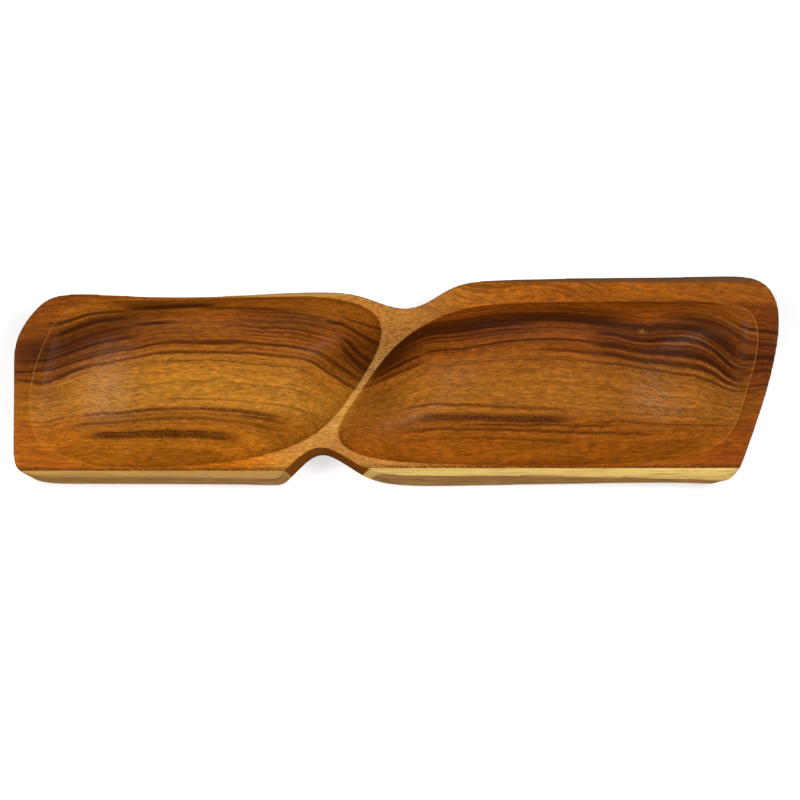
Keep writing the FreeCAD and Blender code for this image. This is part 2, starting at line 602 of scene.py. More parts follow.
DARK_LINES = (
    # the pair that runs the whole length at the front of the dark half, and its darkest part
    Stretch(-240, -18, (Line(116.4, 0.7, 0.8), Line(120.1, 0.6, 0.75))),
    Stretch(-143, -90, (Line(116.5, 1.1, 0.85), Line(120.3, 0.85, 0.80))),
    Stretch(-206, -182, (Line(119.9, 1.0, 0.85),), fade=6),
    # the dark half of the left hollow
    Stretch(-222, -158, (
        Line(105.0, 0.7, 0.5), Line(107.6, 1.2, 0.75), Line(109.7, 0.6, 0.65),
        Line(111.8, 0.85, 0.95), Line(115.2, 0.5, 0.7),
    ), fade=10),
    Stretch(-208, -160, (
        Line(96.9, 1.1, 0.9), Line(99.2, 0.5, 0.5), Line(101.5, 1.6, 0.95),
    ), drift=1.0, fade=8),
    Stretch(-158, -134, (Line(106.7, 1.1, 1.0),), fade=8),
    Stretch(-164, -108, (Line(96.2, 2.4, 0.95),)),
    Stretch(-166, -134, (Line(93.0, 2.0, 0.65),)),
    Stretch(-118, -64, (Line(98.2, 1.3, 0.7),), drift=0.8),
    Stretch(-98, -40, (
        Line(100.8, 1.0, 0.6), Line(105.8, 0.7, 0.6), Line(109.2, 0.8, 0.7),
        Line(111.4, 0.6, 0.65), Line(113.0, 0.5, 0.5), Line(118.4, 0.4, 0.4),
    )),
    # the lines that run together at the ridge
    Stretch(-43, -30, (Line(101.7, 0.9, 0.95),), fade=4),
    Stretch(-34, 0, (
        Line(97.8, 0.6, 0.75), Line(102.0, 0.8, 0.85), Line(104.6, 0.4, 0.6),
        Line(107.5, 1.0, 0.85), Line(110.5, 1.3, 0.9), Line(112.6, 0.5, 0.7),
    ), drift=4.5, fade=5),
    Stretch(-9, 12, (
        Line(101.6, 0.3, 0.5), Line(103.3, 0.45, 0.85), Line(104.7, 0.3, 0.6),
        Line(107.2, 0.3, 0.5), Line(109.6, 0.4, 0.6),
    ), fade=4),
    # faint lines in the gold half of the left hollow
    Stretch(-142, -46, (Line(123.5, 0.35, 0.5), Line(130.8, 0.5, 0.35), Line(137.2, 0.6, 0.4))),
    # the combed bands at its front
    Stretch(-188, -70, (
        Line(141.5, 1.0, 0.80), Line(143.2, 1.0, 0.5), Line(145.2, 0.9, 0.65),
        Line(146.8, 0.7, 0.35), Line(147.9, 0.3, 0.25),
    ), drift=-0.4),
    Stretch(-186, -96, (Line(148.5, 0.5, 0.4), Line(150.3, 2.1, 0.92), Line(152.6, 0.4, 0.3))),
    Stretch(-96, -68, (Line(142.5, 0.7, 0.8),), fade=6),
    Stretch(-226, -192, (Line(140.6, 0.5, 0.55), Line(142.9, 0.4, 0.45))),
    Stretch(-193, -164, (Line(145.3, 0.9, 0.75),), fade=8),
    # the darkest lines of the right hollow
    Stretch(10, 136, (Line(103.9, 0.9, 0.8), Line(108.0, 1.5, 1.0)), drift=-1.4),
    Stretch(-8, 80, (
        Line(105.8, 0.6, 0.9), Line(110.1, 1.5, 1.0), Line(112.9, 0.7, 0.85),
        Line(114.6, 0.5, 0.7),
    ), drift=-0.8),
    Stretch(44, 116, (Line(113.6, 0.4, 0.6),), drift=-3.0),
    Stretch(96, 142, (Line(99.6, 2.0, 0.5),)),
    # the lines in front of it
    Stretch(-14, 16, (Line(117.6, 0.9, 0.9), Line(120.6, 0.9, 0.7)), drift=1.1, fade=6),
    Stretch(14, 134, (Line(118.6, 0.6, 0.85),), drift=-3.0),
    Stretch(84, 134, (Line(120.7, 0.7, 0.7),), drift=-0.9),
    Stretch(14, 112, (Line(122.7, 0.3, 0.35), Line(123.5, 0.3, 0.5))),
    # the curled lines at the right end
    Stretch(120, 207, (
        Line(107.0, 2.1, 1.0), Line(109.7, 0.5, 0.75), Line(111.8, 1.2, 1.0),
        Line(114.2, 0.6, 0.7), Line(116.4, 1.5, 1.0), Line(119.9, 1.2, 0.85),
        Line(122.9, 0.6, 0.7),
    ), fade=8),
    Stretch(168, 218, (Line(99.0, 0.7, 0.5), Line(102.2, 1.4, 0.8))),
    Stretch(204, 234, (
        Line(96.2, 0.9, 0.95), Line(99.5, 0.4, 0.5), Line(101.8, 1.0, 0.7),
        Line(107.4, 1.6, 0.9), Line(110.2, 0.6, 0.8), Line(113.4, 0.7, 0.8),
        Line(120.2, 0.6, 0.8), Line(122.2, 0.3, 0.5),
    ), fade=6),
    # faint lines and combed bands at the front of the right hollow
    Stretch(8, 104, (Line(136.6, 0.7, 0.65),), drift=2.2),
    Stretch(12, 104, (Line(141.2, 1.4, 0.86), Line(146.3, 0.4, 0.4)), drift=0.8),
    Stretch(46, 132, (Line(143.4, 0.5, 0.7),)),
    Stretch(4, 156, (Line(144.2, 0.5, 0.65),), drift=1.4),
    Stretch(118, 204, (
        Line(131.4, 0.4, 0.25), Line(136.0, 0.5, 0.3), Line(138.9, 0.5, 0.35),
        Line(142.3, 0.5, 0.5),
    )),
    Stretch(-6, 24, (Line(142.0, 0.4, 0.5),)),
)

PALE_LINES = (
    Stretch(-224, -187, (Line(123.6, 0.35, 0.8), Line(132.5, 0.3, 0.7), Line(139.1, 0.3, 0.6))),
    Stretch(164, 209, (
        Line(110.6, 0.3, 0.6), Line(113.4, 0.25, 0.4), Line(118.2, 0.3, 0.6),
        Line(121.7, 0.25, 0.5), Line(125.0, 0.25, 0.5),
    )),
    Stretch(182, 212, (Line(133.0, 0.3, 0.6),), drift=-1.0),
    Stretch(188, 222, (Line(97.8, 0.4, 0.4),)),
    # the small eye of the knot
    Stretch(147, 151, (Line(108.2, 0.7, 1.5),), fade=2),
)


@dataclass(frozen=True)
class Heartwood:
    """The oiled heartwood: colours from the back of the board to its front, by growth layer."""

    zones: tuple[tuple[float, Colour], ...] = (
        (80, (0.33, 0.100, 0.007)),
        (96, (0.30, 0.088, 0.006)),
        (104, (0.26, 0.070, 0.005)),
        (113, (0.27, 0.074, 0.006)),
        (119, (0.34, 0.103, 0.008)),
        (123, (0.41, 0.144, 0.012)),
        (131, (0.475, 0.184, 0.016)),
        (138, (0.48, 0.184, 0.017)),
        (143, (0.43, 0.142, 0.011)),
        (152, (0.48, 0.152, 0.009)),
        (160, (0.48, 0.150, 0.009)),
        (170, (0.39, 0.118, 0.007)),
    )
    clouds: tuple[Spot, ...] = (
        Spot(-200, 109, 74, 14, -0.58),
        Spot(-108, 105, 44, 9, 0.20),
        Spot(-62, 104, 40, 11, -0.25),
        Spot(-12, 110, 34, 18, -0.40),
        Spot(60, 106, 110, 8, -0.46),
        Spot(70, 94, 110, 7, 0.22),
        Spot(110, 112, 44, 5, 0.12),
        Spot(152, 102, 26, 7, 0.35),
        Spot(150, 91, 60, 6, -0.15),
        Spot(-8, 132, 26, 14, -0.32),
        Spot(100, 156, 96, 12, 0.30),
        Spot(-212, 128, 34, 15, -0.24),
        Spot(-150, 101, 42, 10, -0.24),
        Spot(-150, 112, 42, 9, -0.12),
        Spot(25, 101, 34, 6, 0.38),
        Spot(-12, 152, 26, 8, 0.32),
        Spot(-165, 132, 36, 12, -0.20),
        Spot(-92, 151, 46, 9, 0.30),
        Spot(38, 149, 52, 10, 0.25),
        Spot(150, 124, 30, 17, -0.14),
        Spot(187, 103, 36, 10, -0.40),
        Spot(202, 130, 26, 16, -0.20),
    )
    streak: Colour = (0.042, 0.0095, 0.0018)
    pore: Colour = (0.090, 0.026, 0.004)
    # the pale lines of the figure; also the colour of the painted highlight along the lip
    pale: Colour = (0.66, 0.32, 0.080)
    left_tint: Colour = (0.91, 0.82, 0.85)
    left_end: Levels = (-178, -204)
    right_tint: Colour = (0.75, 0.65, 0.66)
    ridge_lean: float = -0.65
    ridge_at: float = -14.0
    ridge_side: Levels = (-3, 3)


@dataclass(frozen=True)
class Grain:
    """The small marks of the heartwood, and what they do to its colour and its lines.

    The marks run along the dish, across the growth layers and round them, in millimetres.
    """

    broad: Marks = Marks((75, 3.2, 40), contrast=0.9)
    fine: Marks = Marks((26, 0.8, 14), detail=3, contrast=0.7)
    fibre: Marks = Marks((7, 0.55, 2.5), detail=3, contrast=1.4)
    fleck: Marks = Marks((5, 1.6, 4.0), detail=1, contrast=0.9)
    speckle: Marks = Marks((0.8, 0.8, 0.8), contrast=0.5)
    pores: Marks = Marks((3.5, 0.45, 0.7), detail=1)
    combed: Marks = Marks((0.9, 2.0, 2.0))
    threads: Marks = Marks((55, 0.7, 30))
    raggedness: float = 0.8
    torn_by_fibre: float = 0.6
    torn: Levels = (0.5, 1.0, 0.7, 1.1)
    teeth: Levels = (0.38, 0.60, 0.78, 1.04)
    uncombed: Levels = (134, 137, 1, 0)
    thread: Levels = (0.52, 0.64)
    threaded: Levels = (118, 122, 0.42, 0.08)
    broken: Levels = (0.35, 0.60, 0.08, 0.36)
    pit: Levels = (0.58, 0.68)
    pit_share: float = 0.5
    pit_depth: float = 0.8
    fibre_height: float = 0.35


@dataclass(frozen=True)
class RimTone:
    """Tints of the flat rim, and where along and across the dish each one takes over."""

    front: Colour = (0.88, 0.78, 0.40)
    back: Colour = (1.32, 1.36, 1.00)
    waist: Colour = (1.70, 2.10, 2.40)
    end: Colour = (0.76, 0.60, 0.20)
    back_across: Levels = (36, 46)
    back_along: Levels = (0, 30)
    waist_to_back: Levels = (30, 85)
    end_along: Levels = (160, 200)
    end_across: Levels = (40, 50, 1, 0)


@dataclass(frozen=True)
class Sapwood:
    """The pale wood just under the bark, which the long facet along the front lays bare."""

    left: Colour = (0.50, 0.275, 0.070)
    right: Colour = (0.78, 0.54, 0.150)
    fibre: Colour = (0.40, 0.22, 0.055)
    fibres: Marks = Marks((22, 0.9, 0.9), detail=3)
    fibre_shows: Levels = (0.34, 0.54, 0.70, 0)
    change: Levels = (-54.5, -14.5)
    depth: float = 2.0
    depth_fade: float = 0.5


@dataclass(frozen=True)
class SandedCrestAndSheen:
    """The pale sanded top of the ridge, which widens into the waist and the notch. Its paleness is
    partly the wood's own colour and partly painted sheen: the flat top is drawn lighter and greyer as
    if lit from above.
    """

    tan: Colour = (0.77, 0.42, 0.115)
    shaded: Colour = (0.40, 0.155, 0.027)
    mottle: Marks = Marks((2.2, 0.9, 0.9), detail=3)
    mottled: Levels = (0.34, 0.63)
    across: Levels = (-50.0, 50.0)
    tints: tuple[tuple[float, Colour], ...] = (
        (0.15, (0.73, 0.71, 0.73)),
        (0.28, (0.90, 0.92, 0.98)),
        (0.62, (0.90, 0.92, 0.98)),
        (0.80, (0.85, 0.73, 0.58)),
    )
    # painted sheen: how much lighter and greyer the flat crest is drawn
    lift: Colour = (1.40, 1.60, 2.60)
    along: Band = (-72.0, 26.0, 22.0)
    share: float = 0.50


@dataclass(frozen=True)
class ScratchesAndGlare:
    """The slanting scratches that the buff left at the foot of both end walls, painted pale as the
    glare that they catch there: real scratches with a painted highlight.
    """

    # painted highlight: the pale grey of the glare on the scratches
    colour: Colour = (0.62, 0.42, 0.26)
    share: float = 0.16
    scratches: Marks = Marks((16, 0.8, 8), detail=1)
    scratched: Levels = (0.50, 0.60)
    slant_back: float = -1.6
    slant_across: float = 0.6
    across: Band = (-22, 8, 10)
    left: Band = (-188, -162, 12)
    right: Band = (144, 166, 12)


@dataclass(frozen=True)
class LipHighlight:
    """A painted highlight: the thin pale line where the end walls of the hollows leave the rim,
    standing in for the glint along the lip.
    """

    depth: Band = (0.11, 0.21, 0.03)
    left: Levels = (-195, -180, 0.22, 0)
    right: Levels = (175, 190, 0, 0.28)


@dataclass(frozen=True)
class Skin:
    """The grey-brown natural face left below the facet, where the bark came away."""

    pale: Colour = (0.53, 0.285, 0.097)
    dark: Colour = (0.27, 0.130, 0.043)
    weathering: Marks = Marks((17, 2.5, 1.5), detail=4)
    weathered: Levels = (0.36, 0.64)
    starts_at: float = -57.3
    fade: float = 0.6
    edge_wander: float = 1.2
    edge: Levels = (0.2, 0.8)


@dataclass(frozen=True)
class NotchWallShade:
    """The walls of the notch, which face the front without being part of it: heartwood darkened with
    painted shade, as these walls lie in shadow.
    """

    # painted shade: the dark colour that the front-facing notch walls are drawn towards
    colour: Colour = (0.150, 0.050, 0.010)
    share: float = 0.75
    facing: Levels = (-0.3, -0.6)
    across: Levels = (-36, -32, 1, 0)
    under_rim: Levels = (0.3, 0.7)


@dataclass(frozen=True)
class BackEdge:
    """The back edge: the pale flat pared at its left and the dark rolled edge at its right."""

    line_at: float = 51.1
    line_slope: float = 0.0145
    pared: Levels = (-1.5, -0.2)
    pared_along: Band = (-116, -22, 6)
    pared_height: Levels = (28, 31, 0.15, 1)
    fibres: Marks = Marks((14, 0.8, 0.8), detail=3)
    fibre_shows: Levels = (0.30, 0.50, 0.60, 1)
    rolled: Colour = (0.13, 0.055, 0.020)
    rolled_share: float = 0.9
    rolled_across: Levels = (57.2, 58.0)
    rolled_along: Levels = (30, 70)
    rolled_height: Levels = (31, 35)


@dataclass(frozen=True)
class FrontEdge:
    """The front of the rim: the facet's top line, the burnt line and the torn flecks behind it."""

    rim: float = 38.0
    rim_flat: Levels = (37.7, 37.97)
    left_line: float = -56.2
    right_line: float = -54.5
    notch: Levels = (-46.5, -42.5)
    fall: float = 1.1
    facet_begins: Levels = (0.0, 0.35)
    facet_ends: Levels = (0.3, 0.0)
    mottle: Marks = Marks((1.6, 1.1, 1.1), detail=3)
    burnt: Levels = (-3.0, -0.2)
    burnt_mottle: Levels = (0.38, 0.60, 0.35, 0.90)
    burnt_depth: Levels = (0.3, 0.8, 1, 0)
    torn: Levels = (-3.4, -0.4)
    torn_mottle: Levels = (0.38, 0.48, 0.5, 0)
    torn_depth: Levels = (0.5, 1.2, 1, 0)
    torn_along: Band = (-20, 70, 30)


@dataclass(frozen=True)
class Finish:
    """How a surface takes light: a rubbed oil, a little uneven, or none on the natural faces."""

    name: str
    gloss: float
    roughness: float = 0.34
    tint: Colour = (1.0, 0.92, 0.84)
    unevenness: float = 0.10
    bump: float = 0.35
    bump_depth: float = 0.0002


def spot_group() -> bpy.types.NodeTree:
    """The node group of one soft spot.

    Returns:
        A group that takes a layer, a place along the dish and a spot's own numbers, and gives
        its mask.
    """
    numbers = ("Layer", "Along", "At", "At Layer", "Reach", "Depth")
    tree = new_group("Soft Spot", {name: "Float" for name in numbers}, {"Mask": "Float"})
    bench = Bench(tree)
    given = tree.nodes["Group Input"].outputs
    masks = []
    for value, middle, size in (("Along", "At", "Reach"), ("Layer", "At Layer", "Depth")):
        away = bench.math("ABSOLUTE", bench.math("SUBTRACT", given[value], given[middle]))
        masks.append(bench.spread(bench.math("DIVIDE", away, given[size]), 0, 1, 1, 0))
    bench.feed(tree.nodes["Group Output"].inputs["Mask"], bench.math("MULTIPLY", *masks))
    return tree


@dataclass(frozen=True)
class Surface:
    """A point of the dish as sockets: its place in millimetres and how it faces the front."""

    x: bpy.types.NodeSocket
    y: bpy.types.NodeSocket
    z: bpy.types.NodeSocket
    facing: bpy.types.NodeSocket

    @property
    def place(self) -> tuple[bpy.types.NodeSocket, ...]:
        """The three sockets of its place."""
        return self.x, self.y, self.z


@dataclass(frozen=True)
class Growth:
    """A point of the board as sockets: its place, its growth layer and the marks it lies in."""

    place: tuple[bpy.types.NodeSocket, ...]
    layer: bpy.types.NodeSocket
    grown: tuple[bpy.types.NodeSocket, ...]
    fine: bpy.types.NodeSocket
    fibre: bpy.types.NodeSocket


@dataclass(frozen=True)
class DishWood:
    """The wood of the whole dish: heartwood, with sapwood and natural face along the front."""

    layers: GrowthLayers = GrowthLayers()
    heart: Heartwood = Heartwood()
    grain: Grain = Grain()
    rim: RimTone = RimTone()
    crest: SandedCrestAndSheen = SandedCrestAndSheen()
    scratches_and_glare: ScratchesAndGlare = ScratchesAndGlare()
    lip: LipHighlight = LipHighlight()
    edge: FrontEdge = FrontEdge()
    sap: Sapwood = Sapwood()
    skin: Skin = Skin()
    notch_shade: NotchWallShade = NotchWallShade()
    back: BackEdge = BackEdge()

    def lines(
        self, bench: Bench, layer: object, x: object, stretches: tuple[Stretch, ...]
    ) -> bpy.types.NodeSocket:
        """Draw the lines of several stretches over each other.

        Args:
            bench: where the nodes go.
            layer: the growth layer.
            x: the place along the dish.
            stretches: the stretches with their lines.

        Returns:
            A mask of them all.
        """
        total: object = 0.0
        for stretch in stretches:
            total = bench.math("MAXIMUM", total, stretch.wire(bench, layer, x))
        return total

    def darkness(self, bench: Bench, at: Growth, ragged: object) -> bpy.types.NodeSocket:
        """How dark the lines, bands and threads of the figure are.

        Args:
            bench: where the nodes go.
            at: the point of the board.
            ragged: its growth layer with frayed edges.

        Returns:
            The socket that holds it, from 0 to 1.
        """
        grain = self.grain
        x, _, z = at.place
        carved = bench.spread(z, *self.edge.rim_flat, 1, 0)
        bands = bench.math("MULTIPLY", self.lines(bench, ragged, x, DARK_BANDS), carved)
        dark = bench.math("MAXIMUM", self.lines(bench, ragged, x, DARK_LINES), bands)
        mixed = bench.math("MULTIPLY_ADD", at.fibre, grain.torn_by_fibre, at.fine)
        torn = bench.spread(mixed, *grain.torn)
        teeth = bench.spread(bench.grain(at.grown, grain.combed), *grain.teeth)
        teeth = bench.math("MAXIMUM", teeth, bench.spread(at.layer, *grain.uncombed))
        threads = bench.spread(bench.grain(at.grown, grain.threads), *grain.thread)
        threads = bench.math("MULTIPLY", threads, bench.spread(at.layer, *grain.threaded))
        dark = bench.math("MAXIMUM", bench.product(dark, torn, teeth), threads)
        return bench.math("MINIMUM", dark, 1.0)

    def tone(
        self, bench: Bench, at: Growth, shape: bpy.types.NodeTree
    ) -> bpy.types.NodeSocket:
        """The colour of the heartwood without its lines.

        Args:
            bench: where the nodes go.
            at: the point of the board.
            shape: the node group of a soft spot.

        Returns:
            The socket that holds the colour.
        """
        heart = self.heart
        grain = self.grain
        x, y, _ = at.place
        first = heart.zones[0][0]
        span = heart.zones[-1][0] - first
        share = bench.math("DIVIDE", bench.math("SUBTRACT", at.layer, first), span, clamp=True)
        base = bench.ramp(share, tuple(((zone - first) / span, tone) for zone, tone in heart.zones))
        past_ridge = bench.math("MULTIPLY_ADD", y, heart.ridge_lean,
                                bench.math("SUBTRACT", x, heart.ridge_at))
        left = bench.blend(bench.spread(x, *heart.left_end), UNTINTED, heart.left_tint)
        tint = bench.blend(bench.spread(past_ridge, *heart.ridge_side), left, heart.right_tint)
        shade = bench.product(
            bench.shade(bench.grain(at.grown, grain.broad), grain.broad),
            bench.shade(at.fine, grain.fine),
            bench.shade(at.fibre, grain.fibre),
            bench.shade(bench.grain(at.grown, grain.fleck), grain.fleck),
            bench.shade(bench.grain(at.place, grain.speckle), grain.speckle),
        )
        for cloud in heart.clouds:
            mask = cloud.mask(bench, shape, at.layer, x)
            shade = bench.math("MULTIPLY", shade,
                               bench.math("MULTIPLY_ADD", mask, cloud.amount, 1.0))
        return bench.scaled(bench.tinted(base, tint), shade)

    def figure_group(self) -> bpy.types.NodeTree:
        """The node group of the figured heartwood.

        Returns:
            A group that takes a place in millimetres and gives a colour and the height of the
            grain.
        """
        tree = new_group(
            "Figured Heartwood", {"Place": "Vector"}, {"Color": "Color", "Height": "Float"}
        )
        bench = Bench(tree)
        shape = spot_group()
        grain = self.grain
        place = bench.axes(tree.nodes["Group Input"].outputs["Place"])
        x, y, z = place
        layer = self.layers.wire(bench, place, shape)
        grown = (x, layer, bench.math("SUBTRACT", z, y))
        at = Growth(place, layer, grown, bench.grain(grown, grain.fine),
                    bench.grain(grown, grain.fibre))
        ragged = bench.math("MULTIPLY_ADD", bench.swing(at.fibre), grain.raggedness, layer)
        dark = self.darkness(bench, at, ragged)
        light = bench.math("MULTIPLY", self.lines(bench, ragged, x, PALE_LINES),
                           bench.spread(at.fine, *grain.broken))
        wood = bench.blend(dark, self.tone(bench, at, shape), self.heart.streak)
        wood = bench.blend(light, wood, self.heart.pale)
        pitted = bench.spread(bench.grain(grown, grain.pores), *grain.pit)
        wood = bench.blend(bench.math("MULTIPLY", pitted, grain.pit_share), wood, self.heart.pore)
        out = tree.nodes["Group Output"].inputs
        bench.feed(out["Color"], wood)
        bench.feed(out["Height"], bench.math("MULTIPLY_ADD", at.fibre, grain.fibre_height,
                                             bench.math("MULTIPLY", pitted, -grain.pit_depth)))
        return tree

    def rim_tint(self, bench: Bench, at: Surface) -> bpy.types.NodeSocket:
        """The tint of the flat rim.

        Args:
            bench: where the nodes go.
            at: the surface.

        Returns:
            The socket that holds the tint.
        """
        rim = self.rim
        behind = bench.math("MULTIPLY", bench.spread(at.y, *rim.back_across),
                            bench.spread(at.x, *rim.back_along))
        back = bench.blend(bench.spread(at.x, *rim.waist_to_back), rim.waist, rim.back)
        tint = bench.blend(behind, rim.front, back)
        at_end = bench.math("MULTIPLY", bench.spread(at.x, *rim.end_along),
                            bench.spread(at.y, *rim.end_across))
        return bench.blend(at_end, tint, rim.end)

    def sanded_top_and_sheen(
        self, bench: Bench, at: Surface, wood: bpy.types.NodeSocket
    ) -> bpy.types.NodeSocket:
        """Tint the flat rim, and pale it on the ridge, the waist and the notch, partly with painted
        sheen.

        Args:
            bench: where the nodes go.
            at: the surface.
            wood: the colour of the figured heartwood.

        Returns:
            The colour with both.
        """
        crest = self.crest
        flat = bench.spread(at.z, *self.edge.rim_flat)
        pale = bench.product(flat, bench.between(at.x, *crest.along))
        deep = bench.product(flat, bench.math("SUBTRACT", 1.0, pale))
        tinted = bench.tinted(wood, bench.blend(deep, UNTINTED, self.rim_tint(bench, at)))
        mottle = bench.spread(bench.grain(at.place, crest.mottle), *crest.mottled)
        tan = bench.blend(mottle, crest.shaded, crest.tan)
        tan = bench.tinted(tan, bench.ramp(bench.spread(at.y, *crest.across), crest.tints))
        # painted sheen: the flat crest lifted lighter and greyer
        sheen_lifted = bench.tinted(tinted, bench.blend(pale, UNTINTED, crest.lift))
        return bench.blend(bench.math("MULTIPLY", pale, crest.share), sheen_lifted, tan)

    def end_walls(
        self, bench: Bench, at: Surface, wood: bpy.types.NodeSocket
    ) -> bpy.types.NodeSocket:
        """Scratch the foot of the end walls with painted glare, and paint a pale highlight along the
        lip at their top.

        Args:
            bench: where the nodes go.
            at: the surface.
            wood: the colour of the wood so far.

        Returns:
            The colour with both.
        """
        scratches_and_glare = self.scratches_and_glare
        slanted = (bench.math("MULTIPLY_ADD", at.y, scratches_and_glare.slant_back, at.x),
                   bench.math("MULTIPLY_ADD", at.x, scratches_and_glare.slant_across, at.y), at.z)
        glinting_scratches = bench.product(
            bench.spread(bench.grain(slanted, scratches_and_glare.scratches), *scratches_and_glare.scratched),
            bench.between(at.y, *scratches_and_glare.across),
            bench.math("MAXIMUM", bench.between(at.x, *scratches_and_glare.left),
                       bench.between(at.x, *scratches_and_glare.right)),
        )
        # painted highlight: the scratches drawn pale where the lamps glare on the end walls
        wood = bench.blend(bench.math("MULTIPLY", glinting_scratches, scratches_and_glare.share), wood, scratches_and_glare.colour)
        under = bench.math("SUBTRACT", self.edge.rim, at.z)
        # painted highlight: a pale line just under the rim at both ends, for the glint along the lip
        lip = bench.product(bench.between(under, *self.lip.depth),
                            bench.math("MAXIMUM", bench.spread(at.x, *self.lip.left),
                                       bench.spread(at.x, *self.lip.right)))
        return bench.blend(lip, wood, self.heart.pale)

    def burnt_line(
        self, bench: Bench, at: Surface, ahead: object, wood: bpy.types.NodeSocket
    ) -> bpy.types.NodeSocket:
        """Draw the burnt line and the torn flecks behind the facet.

        Args:
            bench: where the nodes go.
            at: the surface.
            ahead: how far the point is in front of the facet's top line.
            wood: the colour of the wood so far.

        Returns:
            The colour with both.
        """
        edge = self.edge
        under = bench.math("SUBTRACT", edge.rim, at.z)
        mottle = bench.grain(at.place, edge.mottle)
        burnt = bench.product(bench.spread(ahead, *edge.burnt),
                              bench.spread(mottle, *edge.burnt_mottle),
                              bench.spread(under, *edge.burnt_depth))
        wood = bench.blend(burnt, wood, self.heart.pore)
        torn = bench.product(bench.spread(ahead, *edge.torn),
                             bench.spread(mottle, *edge.torn_mottle),
                             bench.spread(under, *edge.torn_depth),
                             bench.between(at.x, *edge.torn_along))
        return bench.blend(torn, wood, self.sap.left)

    def front_edge(
        self, bench: Bench, at: Surface, wood: bpy.types.NodeSocket
    ) -> bpy.types.NodeSocket:
        """Lay the burnt line, the painted shade of the notch walls, the sapwood facet and the natural
        face on the wood.

        Args:
            bench: where the nodes go.
            at: the surface.
            wood: the colour of the heartwood so far.

        Returns:
            The colour with all four.
        """
        edge, sap, skin, notch_shade = self.edge, self.sap, self.skin, self.notch_shade
        line = bench.spread(at.x, *edge.notch, edge.left_line, edge.right_line)
        ahead = bench.math("SUBTRACT", line, at.y)
        under = bench.math("SUBTRACT", edge.rim, at.z)
        below = bench.math("MULTIPLY_ADD", ahead, -edge.fall, under)
        wood = self.burnt_line(bench, at, ahead, wood)

        # painted shade: the notch walls that face the front are darkened as if in shadow
        shaded = bench.product(bench.spread(at.facing, *notch_shade.facing),
                               bench.spread(at.y, *notch_shade.across),
                               bench.spread(under, *notch_shade.under_rim))
        wood = bench.blend(bench.math("MULTIPLY", shaded, notch_shade.share), wood, notch_shade.colour)

        pale = bench.blend(bench.spread(at.x, *sap.change), sap.left, sap.right)
        fibre = bench.spread(bench.grain(at.place, sap.fibres), *sap.fibre_shows)
        sapwood = bench.blend(fibre, pale, sap.fibre)
        sap_ends = skin.starts_at + sap.depth
        under_bark = bench.spread(at.y, sap_ends, sap_ends - sap.depth_fade)
        begun = bench.spread(ahead, *edge.facet_begins)
        facet = bench.math("MAXIMUM", bench.product(begun, under_bark),
                           bench.product(begun, bench.spread(below, *edge.facet_ends)))
        wood = bench.blend(facet, wood, sapwood)

        weathering = bench.grain(at.place, skin.weathering)
        face = bench.blend(bench.spread(weathering, *skin.weathered), skin.dark, skin.pale)
        worn = bench.math("MULTIPLY_ADD", bench.swing(weathering), skin.edge_wander, below)
        barked = bench.product(bench.spread(worn, *skin.edge),
                               bench.spread(at.y, skin.starts_at, skin.starts_at - skin.fade))
        return bench.blend(barked, wood, face)

    def back_edge(
        self, bench: Bench, at: Surface, wood: bpy.types.NodeSocket
    ) -> bpy.types.NodeSocket:
        """Pale the pared flat at the left of the back, and darken the rolled edge at its right.

        Args:
            bench: where the nodes go.
            at: the surface.
            wood: the colour of the wood so far.

        Returns:
            The finished colour.
        """
        back = self.back
        line = bench.math("MULTIPLY_ADD", at.x, back.line_slope, back.line_at)
        fibre = bench.grain(at.place, back.fibres)
        pared = bench.product(bench.spread(bench.math("SUBTRACT", at.y, line), *back.pared),
                              bench.between(at.x, *back.pared_along),
                              bench.spread(at.z, *back.pared_height),
                              bench.spread(fibre, *back.fibre_shows))
        wood = bench.blend(pared, wood, self.sap.left)
        rolled = bench.product(bench.spread(at.y, *back.rolled_across),
                               bench.spread(at.x, *back.rolled_along),
                               bench.spread(at.z, *back.rolled_height))
        return bench.blend(bench.math("MULTIPLY", rolled, back.rolled_share), wood, back.rolled)

    def wood_group(self) -> bpy.types.NodeTree:
        """The node group of the whole wood.

        Returns:
            A group that takes a place in metres and the way the surface faces, and gives the
            colour and the height of the grain.
        """
        tree = new_group(
            "Dish Wood",
            {"Place": "Vector", "Facing": "Vector"},
            {"Color": "Color", "Height": "Float"},
        )
        bench = Bench(tree)
        given = tree.nodes["Group Input"].outputs
        place = bench.scaled(given["Place"], MILLIMETRES)
        figured = bench.group(self.figure_group(), place)
        at = Surface(*bench.axes(place), bench.axes(given["Facing"])[1])
        wood = self.sanded_top_and_sheen(bench, at, figured.outputs["Color"])
        wood = self.end_walls(bench, at, wood)
        wood = self.front_edge(bench, at, wood)
        out = tree.nodes["Group Output"].inputs
        bench.feed(out["Color"], self.back_edge(bench, at, wood))
        bench.feed(out["Height"], figured.outputs["Height"])
        return tree

    def material(self, wood: bpy.types.NodeTree, finish: Finish) -> bpy.types.Material:
        """A material of this wood.

        Args:
            wood: the node group of the wood.
            finish: how its surface takes light.

        Returns:
            The material.
        """
        material = bpy.data.materials.new(finish.name)
        material.use_nodes = True
        bench = Bench(material.node_tree)
        shader = material.node_tree.nodes["Principled BSDF"]
        texture = bench.add("TexCoord")
        look = bench.group(wood, texture.outputs["Object"], texture.outputs["Normal"])
        bench.feed(shader.inputs["Base Color"], look.outputs["Color"])
        height = look.outputs["Height"]
        bench.feed(shader.inputs["Roughness"],
                   bench.math("MULTIPLY_ADD", height, -finish.unevenness, finish.roughness))
        shader.inputs["Specular IOR Level"].default_value = finish.gloss
        shader.inputs["Specular Tint"].default_value = (*finish.tint, 1)
        bump = bench.add("Bump")
        bump.inputs["Strength"].default_value = finish.bump
        bump.inputs["Distance"].default_value = finish.bump_depth
        bench.feed(bump.inputs["Height"], height)
        bench.feed(shader.inputs["Normal"], bump.outputs[0])
        return material


# The dish


